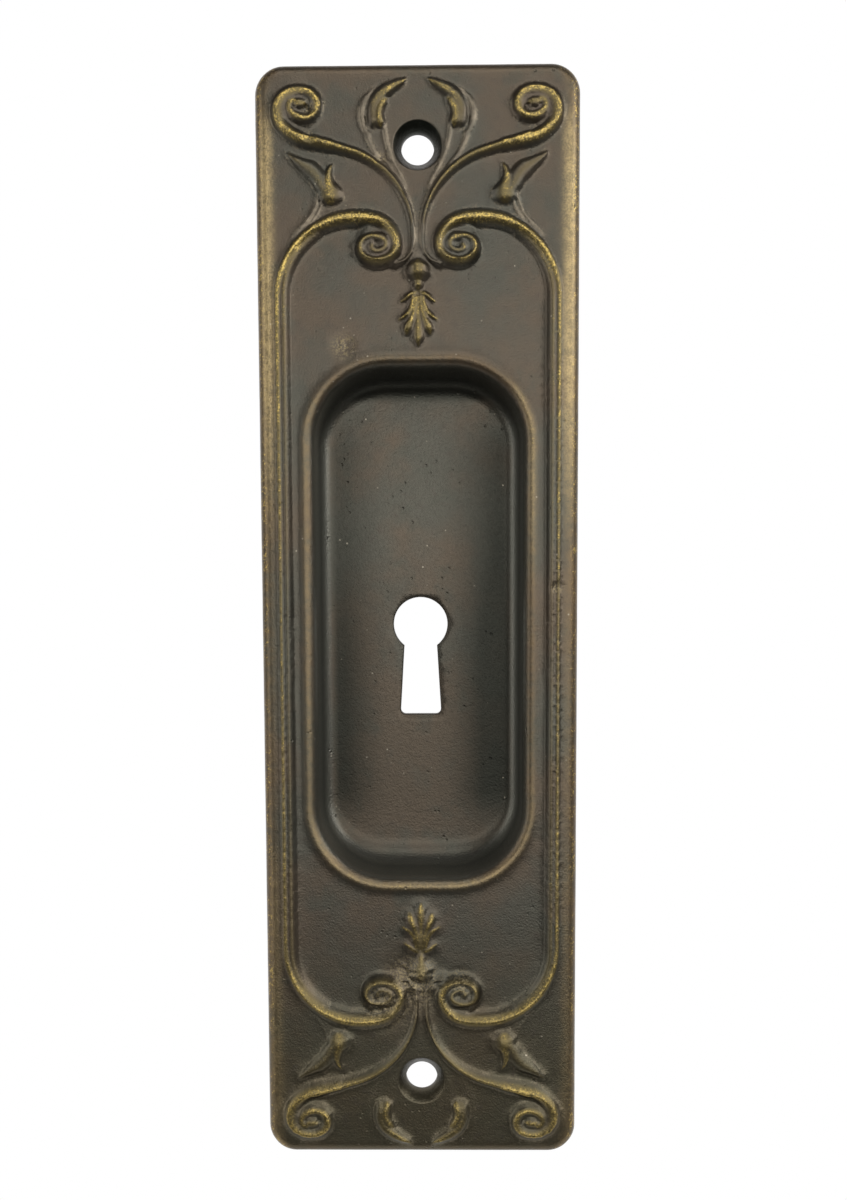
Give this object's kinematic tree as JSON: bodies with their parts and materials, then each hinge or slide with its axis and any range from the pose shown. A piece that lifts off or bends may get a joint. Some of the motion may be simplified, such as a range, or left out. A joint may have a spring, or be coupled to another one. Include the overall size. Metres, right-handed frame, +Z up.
{
  "type": "pocket door pull",
  "caption": "Cast flush pull for a sliding pocket door: ornamented plate with a deep finger cup, a keyhole through the cup floor and countersunk screw holes.",
  "frame": {"origin": "midway between the screw holes, on the plane where the plate's rim seats on the door", "axes": "+Z up along the plate, +X to the right seen from the front, +Y into the door; the ornamented face looks along -Y"},
  "size_m": [0.0556, 0.015, 0.191],
  "materials": {
    "cast_bronze": "dark brown patina, rubbed bright on the high edges"
  },
  "bodies": {
    "root": {"cast_pull": "cast_bronze"}
  },
  "joints": []
}
